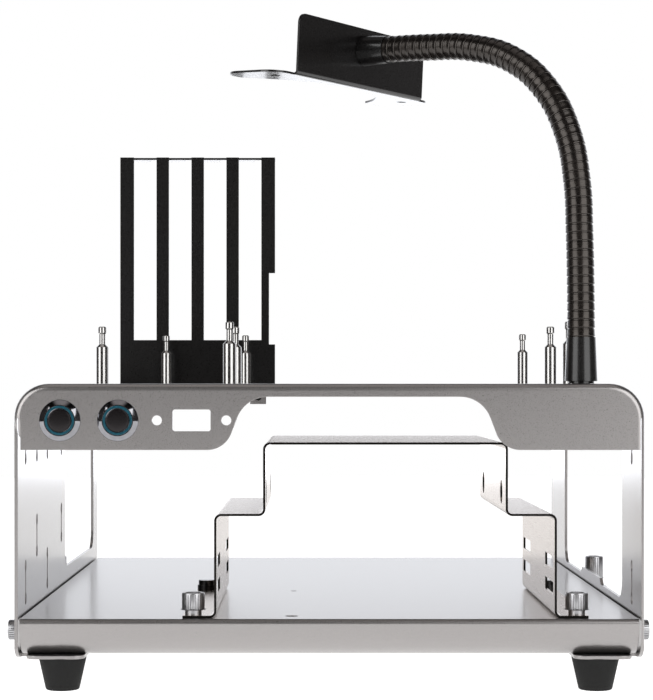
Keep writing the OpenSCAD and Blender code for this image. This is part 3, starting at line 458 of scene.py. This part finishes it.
def ring_profile(piece, levels):
    """Cuts rings round a cylinder and gives each its radius as a share of the cylinder's."""
    bpy.ops.object.mode_set(mode="EDIT")
    for z, _ in levels:
        bpy.ops.mesh.select_all(action="SELECT")
        bpy.ops.mesh.bisect(plane_co=(0, 0, z), plane_no=(0, 0, 1))
    for z, share in levels:
        select_points(piece, lambda co: abs(co.z - z) < TOUCH)
        bpy.ops.transform.resize(value=(share, share, 1), center_override=(0, 0, z))
    bpy.ops.object.mode_set(mode="OBJECT")


def stack_rings(piece, pitch, count):
    """Repeats one open ring upwards, joins the rings and closes both ends."""
    add_modifier(piece, "ARRAY", {
        "count": count, "use_relative_offset": False, "use_constant_offset": True,
        "constant_offset_displace": (0, 0, pitch), "use_merge_vertices": True,
        "merge_threshold": pitch / 100})
    bpy.ops.object.mode_set(mode="EDIT")
    bpy.ops.mesh.select_mode(type="EDGE")
    bpy.ops.mesh.select_all(action="DESELECT")
    bpy.ops.mesh.select_non_manifold()
    bpy.ops.mesh.fill()
    bpy.ops.object.mode_set(mode="OBJECT")


# Sizes and colours

class BenchSizes(bpy.types.PropertyGroup):
    hose_radius: FloatProperty(
        name="Hose radius", description="Radius over the ridges of the hose", default=6.2 * MM, unit="LENGTH")
    hose_groove: FloatProperty(
        name="Groove radius", description="Radius of the hose between its ridges",
        default=5.75 * MM, unit="LENGTH")
    segment: FloatProperty(
        name="Segment", description="Length of hose between two bending points",
        default=23 * MM, unit="LENGTH")
    ridges: IntProperty(
        name="Ridges", description="Ridges of the hose on one segment", default=6)
    hose_tail: FloatProperty(
        name="Hose tail", description="Length of hose inside a ferrule", default=8 * MM, unit="LENGTH")
    knurl_depth: FloatProperty(
        name="Knurl depth", description="Depth of the grooves of a thumbscrew",
        default=0.5 * MM, unit="LENGTH")
    grooves: IntProperty(
        name="Knurl grooves", description="Grooves round a thumbscrew", default=28)
    neck_share: FloatProperty(
        name="Screw neck", description="Height of a thumbscrew's neck as a share of the whole", default=0.22)
    neck_width: FloatProperty(
        name="Neck width", description="Width of a thumbscrew's neck as a share of its head's", default=0.73)
    side_head: FloatProperty(
        name="Side screw", description="Length of a side thumbscrew outside the panel",
        default=8 * MM, unit="LENGTH")
    cage_head: FloatProperty(
        name="Cage screw", description="Height of a front cage thumbscrew", default=9.5 * MM, unit="LENGTH")
    ear_head: FloatProperty(
        name="Ear knob", description="Height of the knob on a side ear", default=15 * MM, unit="LENGTH")
    foot_height: FloatProperty(
        name="Foot height", description="Height of a rubber foot", default=14.3 * MM, unit="LENGTH")
    foot_low_radius: FloatProperty(
        name="Foot radius", description="Radius of a foot at the floor", default=7.3 * MM, unit="LENGTH")
    foot_round: FloatProperty(
        name="Foot rounding", description="Rounding of a foot's edges", default=0.7 * MM, unit="LENGTH")
    bezel_height: FloatProperty(
        name="Bezel height", description="How far a switch bezel stands out", default=1.9 * MM, unit="LENGTH")
    bezel_radius: FloatProperty(
        name="Bezel radius", description="Outer radius of a switch bezel", default=9 * MM, unit="LENGTH")
    bezel_face: FloatProperty(
        name="Bezel face", description="Radius at which a bezel's slope begins",
        default=6.8 * MM, unit="LENGTH")
    button_radius: FloatProperty(
        name="Button radius", description="Radius of a button", default=5 * MM, unit="LENGTH")
    lens_radius: FloatProperty(
        name="Lens radius", description="Outer radius of a light ring", default=6.45 * MM, unit="LENGTH")


class BenchLooks(bpy.types.PropertyGroup):
    silver_dark: StringProperty(
        name="Silver, dark", description="Dark flakes of the silver coat", default="#8D8A89")
    silver_light: StringProperty(
        name="Silver, light", description="Light flakes of the coat", default="#A19E9D")
    cage_dark: StringProperty(
        name="Cage, dark", description="Dark rolling lines of the cage", default="#ADA298")
    cage_light: StringProperty(
        name="Cage, light", description="Light rolling lines of the cage", default="#BFB4AB")
    cage_cut: StringProperty(
        name="Cage edge", description="Cut edges of the cage", default="#1C1A18")
    black_dark: StringProperty(
        name="Black coat, dark", description="Low grit of the coat", default="#060505")
    black_light: StringProperty(
        name="Black coat, light", description="High grit of the coat", default="#0D0C0C")
    hose_dark: StringProperty(
        name="Hose, dark", description="Dark tone of the hose cover", default="#080707")
    hose_light: StringProperty(
        name="Hose, light", description="Light tone of the hose cover", default="#120F0E")
    hose_sheen: StringProperty(
        name="Hose sheen", description="Tint of the hose's lights", default="#DCCFC4")
    knurl_dark: StringProperty(
        name="Aluminium, dark", description="Dark tool marks", default="#9A9A9C")
    knurl_light: StringProperty(
        name="Aluminium, light", description="Light tool marks", default="#BEBEC0")
    nickel_dark: StringProperty(
        name="Nickel, dark", description="Dark tone of the plate", default="#9C9B9A")
    nickel_light: StringProperty(
        name="Nickel, light", description="Light tone of the plate", default="#B8B7B5")
    rubber_dark: StringProperty(
        name="Rubber, dark", description="Dark grain of the rubber", default="#090909")
    rubber_light: StringProperty(
        name="Rubber, light", description="Dusty grain of the rubber", default="#141413")
    chrome_dark: StringProperty(
        name="Black chrome, dark", description="Dark tone of a bezel", default="#7E7E82")
    chrome_light: StringProperty(
        name="Black chrome, light", description="Light tone of a bezel", default="#97979B")
    ring_dark: StringProperty(
        name="Light ring, dark", description="Dark tone of a light ring", default="#0A2A33")
    ring_light_and_glow: StringProperty(
        name="Light ring, light", description="Light tone of a light ring", default="#1A5262")
    button_dark: StringProperty(
        name="Button, dark", description="Dark tone of a button", default="#1B191A")
    button_light: StringProperty(
        name="Button, light", description="Light tone of a button", default="#2A2728")
    steel_dark: StringProperty(
        name="Steel, dark", description="Dark tone of a fastener", default="#8E8E8C")
    steel_light: StringProperty(
        name="Steel, light", description="Light tone of a fastener", default="#B0B0AE")
    floor_colour: StringProperty(
        name="Floor", description="Colour of the floor", default="#F4F4F4")


class BENCH_OT_set_stage(bpy.types.Operator):
    """Adds the camera, the floor, the lamps and the white background"""
    bl_idname = "bench.set_stage"
    bl_label = "Set stage"

    def execute(self, context):
        scene = context.scene
        scene.view_settings.view_transform = "Standard"
        self.add_camera(scene)
        self.add_floor(scene.bench_looks)
        self.add_lamps()
        self.add_background(scene)
        return {"FINISHED"}

    def add_camera(self, scene):
        """The photograph's level camera, 0.864 m in front of the bench."""
        data = bpy.data.cameras.new("photo_camera")
        data.sensor_width = 36
        data.lens = data.sensor_width * FOCAL / IMAGE_H
        data.shift_x = (IMAGE_W / 2 - CENTRE_X) / IMAGE_H
        data.shift_y = (CENTRE_Y - IMAGE_H / 2) / IMAGE_H
        data.clip_start = 0.05
        camera = bpy.data.objects.new("photo_camera", data)
        camera.location = CAMERA_PLACE
        camera.rotation_euler = (QUARTER_TURN, 0, 0)
        scene.collection.objects.link(camera)
        scene.camera = camera

    def add_floor(self, looks):
        """A pale floor lit a little from below, as a light table is, that keeps the bench's shadow."""
        deselect()
        bpy.ops.mesh.primitive_plane_add(size=4)
        floor = bpy.context.object
        floor.name = "floor"
        made, tree, place = new_material("pale studio floor")
        soft = grain(tree, place, 300.0)
        finish_material(tree, {
            "Base Color": linear(looks.floor_colour), "Roughness": between(tree, soft, 0.85, 0.95),
            "Specular IOR Level": 0.1, "Emission Color": linear(looks.floor_colour),
            "Emission Strength": 0.97})
        floor.data.materials.append(made)

    def add_lamps(self):
        """Two tall soft boxes in front, to the left and to the right of the camera."""
        for name, azimuth, height, width, tall, power in LAMPS:
            data = bpy.data.lights.new(name, "AREA")
            data.shape = "RECTANGLE"
            data.size = width
            data.size_y = tall
            data.energy = power
            lamp = bpy.data.objects.new(name, data)
            turn = math.radians(azimuth)
            lamp.location = (LAMP_DISTANCE * math.sin(turn), -LAMP_DISTANCE * math.cos(turn), height)
            aim = LAMP_AIM - lamp.location
            lamp.rotation_euler = aim.to_track_quat("-Z", "Y").to_euler()
            bpy.context.scene.collection.objects.link(lamp)

    def add_background(self, scene):
        """White to the camera; to all else bright behind the bench and overhead, and dim elsewhere."""
        world = bpy.data.worlds.new("studio")
        scene.world = world
        world.use_nodes = True
        tree = world.node_tree
        tree.nodes.clear()
        direction = add_node(tree, "ShaderNodeTexCoord").outputs["Generated"]
        parts = add_node(tree, "ShaderNodeSeparateXYZ", links={"Vector": direction})
        behind, above, low = (self.ramp(tree, parts, *row) for row in (BEHIND, ABOVE, LOW))
        # The backdrop straight behind the bench is lit hard, which whitens all that faces it at a low angle
        glow = self.ramp(tree, parts, *GLOW)
        # A soft light straight overhead keeps the table silver when it is looked at from the top
        overhead = self.ramp(tree, parts, *OVERHEAD)
        lit = self.scaled_sum(tree, glow, low, overhead)
        tone = self.scaled_sum(tree, behind, above, lit)
        tint = two_tone(tree, behind, "#FFF6F2", "#F8FAFF")
        studio = add_node(tree, "ShaderNodeBackground", links={"Color": tint, "Strength": tone})
        white = add_node(tree, "ShaderNodeBackground", links={"Color": linear("#FFFFFF"), "Strength": 1.0})
        path = add_node(tree, "ShaderNodeLightPath").outputs["Is Camera Ray"]
        mix = add_node(tree, "ShaderNodeMixShader", links={
            0: path, 1: studio.outputs["Background"], 2: white.outputs["Background"]})
        add_node(tree, "ShaderNodeOutputWorld", links={"Surface": mix.outputs["Shader"]})

    def ramp(self, tree, parts, axis, start, end, first, last):
        """A smooth change of strength along one axis of the direction."""
        return add_node(tree, "ShaderNodeMapRange", {"interpolation_type": "SMOOTHSTEP"}, {
            "Value": parts.outputs[axis], "From Min": start, "From Max": end,
            "To Min": first, "To Max": last}).outputs["Result"]

    def scaled_sum(self, tree, value, scale, more):
        """value times scale, plus more."""
        return add_node(tree, "ShaderNodeMath", {"operation": "MULTIPLY_ADD"}, {
            0: value, 1: scale, 2: more}).outputs[0]


class BENCH_OT_finish_metal(bpy.types.Operator):
    """Gives every piece of the frame that stays as it is its finish"""
    bl_idname = "bench.finish_metal"
    bl_label = "Finish metal"

    def execute(self, context):
        slots = {entry["node"]: entry["material_slot"] for entry in record["subparts"]}
        for name, piece in frame["nodes"].items():
            set_finish(piece, slots[name])
        return {"FINISHED"}


class BENCH_OT_add_hose(bpy.types.Operator):
    """Models the ridged hose of the arm, one piece for each bending point"""
    bl_idname = "bench.add_hose"
    bl_label = "Add hose"

    def execute(self, context):
        sizes = context.scene.bench_sizes
        foot_low, foot_high = (Vector(c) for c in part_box("arm_foot"))
        mouth = Vector(((foot_low.x + foot_high.x) / 2, (foot_low.y + foot_high.y) / 2, foot_high.z))
        bends = [Vector(joints["arm_bend_%d" % n]["pos_m"]) for n in range(1, 9)]
        tip = Vector(joints["fan_roll"]["pos_m"])
        path = self.add_path([mouth - Vector((0, 0, sizes.hose_tail))] + bends + [tip])
        middles = [(a + b) / 2 for a, b in zip([mouth] + bends, bends)]
        middles.append(bends[-1] + (tip - bends[-1]).normalized() * sizes.segment / 2)
        half = sizes.segment / 2
        first = self.ridged(sizes, path, "hose_start", sizes.hose_tail, sizes.ridges // 2)
        dress(first, HOSE_LINKS[0], "hose_cover", "hose_1")
        for n in range(8):
            start = sizes.hose_tail + half + n * sizes.segment
            piece = self.ridged(sizes, path, "hose_bend_%d" % (n + 1), start, sizes.ridges)
            set_finish(piece, "hose_cover")
            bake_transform(piece)
            if n < 7:
                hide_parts("hose_%d" % (n + 2))
        start = sizes.hose_tail + half + 8 * sizes.segment
        last = self.ridged(sizes, path, "hose_finish", start, sizes.ridges // 2 + 1)
        dress(last, HOSE_LINKS[-1], "hose_cover", "hose_9")
        bpy.data.objects.remove(path)
        return {"FINISHED"}

    def add_path(self, points):
        """A smooth curve through the bending points."""
        data = bpy.data.curves.new("hose_path", "CURVE")
        data.dimensions = "3D"
        data.resolution_u = 24
        spline = data.splines.new("BEZIER")
        spline.bezier_points.add(len(points) - 1)
        for point, place in zip(spline.bezier_points, points):
            point.co = place
            point.handle_left_type = point.handle_right_type = "AUTO"
        path = bpy.data.objects.new("hose_path", data)
        bpy.context.scene.collection.objects.link(path)
        return path

    def ridged(self, sizes, path, name, start, count):
        """A run of ridges, modelled straight and then laid along the path from the length start."""
        pitch = sizes.segment / sizes.ridges
        groove = sizes.hose_groove / sizes.hose_radius
        piece = add_cylinder(sizes.hose_radius, pitch, sides=40, caps="NOTHING")
        band = (groove + 2) / 3
        ring_profile(piece, [
            (pitch * 0.07, groove), (pitch * 0.12, 0.99), (pitch * 0.18, 1.0), (pitch * 0.26, 0.995),
            (pitch * 0.34, band), (pitch * 0.62, band + 0.004), (pitch * 0.88, band), (pitch * 0.94, groove)])
        bpy.ops.object.mode_set(mode="EDIT")
        select_points(piece, lambda co: co.z < pitch * 0.01 or co.z > pitch * 0.99)
        bpy.ops.transform.resize(value=(groove, groove, 1), center_override=(0, 0, 0))
        bpy.ops.object.mode_set(mode="OBJECT")
        stack_rings(piece, pitch, count)
        piece.location = (0, 0, start)
        bpy.ops.object.transform_apply(location=True, rotation=True, scale=True)
        add_modifier(piece, "CURVE", {"object": path, "deform_axis": "POS_Z"})
        return settle(piece, name)


class BENCH_OT_add_thumbscrews(bpy.types.Operator):
    """Models the knurled thumbscrews of the side panels, the cage and the ears"""
    bl_idname = "bench.add_thumbscrews"
    bl_label = "Add thumbscrews"

    def execute(self, context):
        sizes = context.scene.bench_sizes
        families = (
            ("side_screw", ENDS, sizes.side_head), ("cage_screw", ENDS[:2], sizes.cage_head),
            ("ear_screw", ("left", "right"), sizes.ear_head))
        for family, names, height in families:
            across = min(box_middle("%s_%s" % (family, names[0]))[1])
            pattern = self.knurled(sizes, across / 2, height)
            for end in names:
                node = "%s_%s" % (family, end)
                place, turn = self.seat(family, node, height)
                piece = settle(copy_piece(pattern), node + "_head", turn, place)
                dress(piece, "bench", "knurled_metal", node)
            remove_piece(pattern)
        return {"FINISHED"}

    def seat(self, family, node, height):
        """Where a screw stands on its sheet, and which way it points."""
        low, high = (Vector(c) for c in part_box(node))
        middle = (low + high) / 2
        if family != "side_screw":
            return (middle.x, middle.y, high.z - height), None
        if middle.x > 0:
            return (high.x - height, middle.y, middle.z), (0, QUARTER_TURN, 0)
        return (low.x + height, middle.y, middle.z), (0, -QUARTER_TURN, 0)

    def knurled(self, sizes, radius, height):
        """A thumbscrew standing on the origin: a neck and a head with straight grooves."""
        sides = sizes.grooves * 3
        top_edge, low_edge = 0.5 * MM, 0.35 * MM
        rim_share, dish_wall, dish_depth = 0.22, 0.25 * MM, 0.3 * MM
        overlap = 0.2 * MM
        neck_height = height * sizes.neck_share
        head = add_cylinder(radius, height - neck_height, (0, 0, neck_height), sides)
        top = height - TOUCH
        low = neck_height + TOUCH
        bpy.ops.object.mode_set(mode="EDIT")
        select_edges(head, lambda co: co.z > top)
        bpy.ops.mesh.bevel(offset=top_edge, segments=2)
        select_edges(head, lambda co: co.z < low)
        bpy.ops.mesh.bevel(offset=low_edge, segments=2)
        select_faces(head, lambda co, n: abs(n.z) < UPRIGHT and self.in_groove(co, sides))
        bpy.ops.mesh.inset(thickness=0.04 * MM, depth=-sizes.knurl_depth, use_individual=True)
        select_faces(head, lambda co, n: n.z > LEVEL)
        bpy.ops.mesh.inset(thickness=radius * rim_share, depth=0)
        bpy.ops.mesh.inset(thickness=dish_wall, depth=-dish_depth)
        bpy.ops.object.mode_set(mode="OBJECT")
        neck = add_cylinder(radius * sizes.neck_width, neck_height + overlap, sides=48)
        choose(head)
        neck.select_set(True)
        bpy.ops.object.join()
        return head

    def in_groove(self, middle, sides):
        """True for one face of the head's side in every three."""
        step = round(math.atan2(middle.y, middle.x) / (2 * math.pi) * sides - 0.5)
        return step % 3 == 0


class BENCH_OT_add_feet(bpy.types.Operator):
    """Models the four rubber feet and the screws in their recesses"""
    bl_idname = "bench.add_feet"
    bl_label = "Add feet"

    def execute(self, context):
        sizes = context.scene.bench_sizes
        pattern = self.foot(sizes, box_middle("foot_front_left")[1].x / 2)
        screw = self.screw(sizes)
        for end in ENDS:
            node = "foot_" + end
            middle, size = box_middle(node)
            place = (middle.x, middle.y, 0)
            dress(settle(copy_piece(pattern), node + "_rubber", None, place), "bench", "foot_rubber", node)
            dress(settle(copy_piece(screw), node + "_screw", None, place), "bench", "nut_metal")
        remove_piece(pattern)
        remove_piece(screw)
        return {"FINISHED"}

    def foot(self, sizes, top_radius):
        """A tapered foot with rounded edges and a recess from below."""
        recess = sizes.foot_low_radius / 2
        piece = add_cylinder(sizes.foot_low_radius, sizes.foot_height, sides=72, top_radius=top_radius)
        bpy.ops.object.mode_set(mode="EDIT")
        select_edges(piece, lambda co: co.z < TOUCH)
        bpy.ops.mesh.bevel(offset=sizes.foot_round, segments=3)
        select_edges(piece, lambda co: co.z > sizes.foot_height - TOUCH)
        bpy.ops.mesh.bevel(offset=sizes.foot_round / 2, segments=2)
        select_faces(piece, lambda co, n: n.z < -LEVEL)
        bpy.ops.mesh.inset(thickness=sizes.foot_low_radius - sizes.foot_round - recess, depth=0)
        bpy.ops.mesh.inset(thickness=0.2 * MM, depth=-0.2 * MM)
        bpy.ops.mesh.inset(thickness=0.01 * MM, depth=-sizes.foot_height / 3)
        bpy.ops.object.mode_set(mode="OBJECT")
        return piece

    def screw(self, sizes):
        """The pan head of the screw that holds a foot."""
        radius, height, stands_out = 2.9 * MM, 1.8 * MM, 1.6 * MM
        edge, drive_rim, drive_depth = 0.6 * MM, 0.9 * MM, 0.8 * MM
        bottom = sizes.foot_height / 3 - stands_out
        piece = add_cylinder(radius, height, (0, 0, bottom), 36)
        bpy.ops.object.mode_set(mode="EDIT")
        select_edges(piece, lambda co: co.z < bottom + TOUCH)
        bpy.ops.mesh.bevel(offset=edge, segments=3)
        select_faces(piece, lambda co, n: n.z < -LEVEL)
        bpy.ops.mesh.inset(thickness=drive_rim, depth=0)
        bpy.ops.mesh.inset(thickness=0.2 * MM, depth=-drive_depth)
        bpy.ops.object.mode_set(mode="OBJECT")
        return piece


class BENCH_OT_add_switches(bpy.types.Operator):
    """Models the bezels with their threaded barrels, and the domed buttons"""
    bl_idname = "bench.add_switches"
    bl_label = "Add switches"

    def execute(self, context):
        sizes = context.scene.bench_sizes
        bezel = self.bezel(sizes)
        button = self.button(sizes)
        # The pieces are modelled upright, their face up, and then turned to face the front
        turn = (QUARTER_TURN, 0, 0)
        for name in SWITCHES:
            low, high = (Vector(c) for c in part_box(name + "_switch_body"))
            face = (low.x + high.x) / 2, low.y, (low.z + high.z) / 2
            piece = settle(copy_piece(bezel), name + "_bezel", turn, face)
            dress(piece, "bench", "black_chrome", name + "_switch_body")
            cap_face = (face[0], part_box(name + "_button")[0][1], face[2])
            piece = settle(copy_piece(button), name + "_cap", turn, cap_face)
            dress(piece, name + "_button", "black_button", name + "_button")
        remove_piece(bezel)
        remove_piece(button)
        return {"FINISHED"}

    def bezel(self, sizes):
        """A sloping bezel, its face at z = 0, with a well for the button and a thread behind."""
        radius = sizes.bezel_radius
        barrel_length, barrel_radius, barrel_overlap = 17 * MM, 7.8 * MM, 0.5 * MM
        thread_pitch, thread_rings = 1 * MM, 16
        well, play, rim_edge = 5.5 * MM, 0.02 * MM, 0.25 * MM
        rim = -0.85 * sizes.bezel_height
        ring = add_cylinder(radius, sizes.bezel_height, (0, 0, -sizes.bezel_height), 96)
        share = sizes.bezel_face / radius
        ring_profile(ring, [(rim, 1.0)])
        bpy.ops.object.mode_set(mode="EDIT")
        select_points(ring, lambda co: co.z > -TOUCH)
        bpy.ops.transform.resize(value=(share, share, 1), center_override=(0, 0, 0))
        select_edges(ring, lambda co: abs(co.z - rim) < TOUCH)
        bpy.ops.mesh.bevel(offset=rim_edge, segments=4)
        select_faces(ring, lambda co, n: n.z > LEVEL)
        bpy.ops.mesh.inset(thickness=sizes.bezel_face - sizes.lens_radius - play, depth=0)
        bpy.ops.mesh.inset(thickness=play, depth=-well)
        bpy.ops.object.mode_set(mode="OBJECT")
        barrel = self.thread(barrel_radius, thread_pitch, thread_rings)
        barrel.location = (0, 0, -sizes.bezel_height - barrel_length + barrel_overlap)
        choose(barrel)
        bpy.ops.object.transform_apply(location=True, rotation=True, scale=True)
        choose(ring)
        barrel.select_set(True)
        bpy.ops.object.join()
        return ring

    def thread(self, radius, pitch, count):
        """A tube with a fine thread drawn as rings."""
        piece = add_cylinder(radius, pitch, sides=64, caps="NOTHING")
        ring_profile(piece, [(pitch * 0.25, 0.955), (pitch * 0.5, 0.955), (pitch * 0.75, 1.0)])
        stack_rings(piece, pitch, count)
        return piece

    def button(self, sizes):
        """A button with a rounded rim and a slightly domed face at z = 0."""
        depth, dome, edge, step_share = 4.5 * MM, 0.16 * MM, 0.5 * MM, 0.21
        piece = add_cylinder(sizes.button_radius, depth - dome, (0, 0, -depth), 72)
        bpy.ops.object.mode_set(mode="EDIT")
        select_edges(piece, lambda co: co.z > -dome - TOUCH)
        bpy.ops.mesh.bevel(offset=edge, segments=4)
        select_faces(piece, lambda co, n: n.z > LEVEL)
        for share in (0.5, 0.3, 0.15, 0.05):
            bpy.ops.mesh.inset(thickness=sizes.button_radius * step_share, depth=dome * share)
        bpy.ops.object.mode_set(mode="OBJECT")
        return piece


class BENCH_PT_panel(bpy.types.Panel):
    """Lists the steps that dress the bench"""
    bl_idname = "BENCH_PT_panel"
    bl_label = "Test bench"
    bl_space_type = "VIEW_3D"
    bl_region_type = "UI"
    bl_category = "Bench"

    def draw(self, context):
        column = self.layout.column()
        for operator in OPERATORS:
            column.operator(operator.bl_idname)
        for group in (context.scene.bench_sizes, context.scene.bench_looks):
            for key in group.__annotations__:
                column.prop(group, key)


OPERATORS = (
    BENCH_OT_set_stage, BENCH_OT_finish_metal, BENCH_OT_add_hose, BENCH_OT_add_thumbscrews,
    BENCH_OT_add_feet, BENCH_OT_add_switches,
)
CLASSES = (BenchSizes, BenchLooks) + OPERATORS + (BENCH_PT_panel,)


def register():
    for made in CLASSES:
        bpy.utils.register_class(made)
    bpy.types.Scene.bench_sizes = PointerProperty(type=BenchSizes)
    bpy.types.Scene.bench_looks = PointerProperty(type=BenchLooks)


def unregister():
    del bpy.types.Scene.bench_looks
    del bpy.types.Scene.bench_sizes
    for made in reversed(CLASSES):
        bpy.utils.unregister_class(made)


def main():
    register()
    bpy.ops.bench.set_stage()
    bpy.ops.bench.finish_metal()
    bpy.ops.bench.add_hose()
    bpy.ops.bench.add_thumbscrews()
    bpy.ops.bench.add_feet()
    bpy.ops.bench.add_switches()


if __name__ == "__main__":
    main()
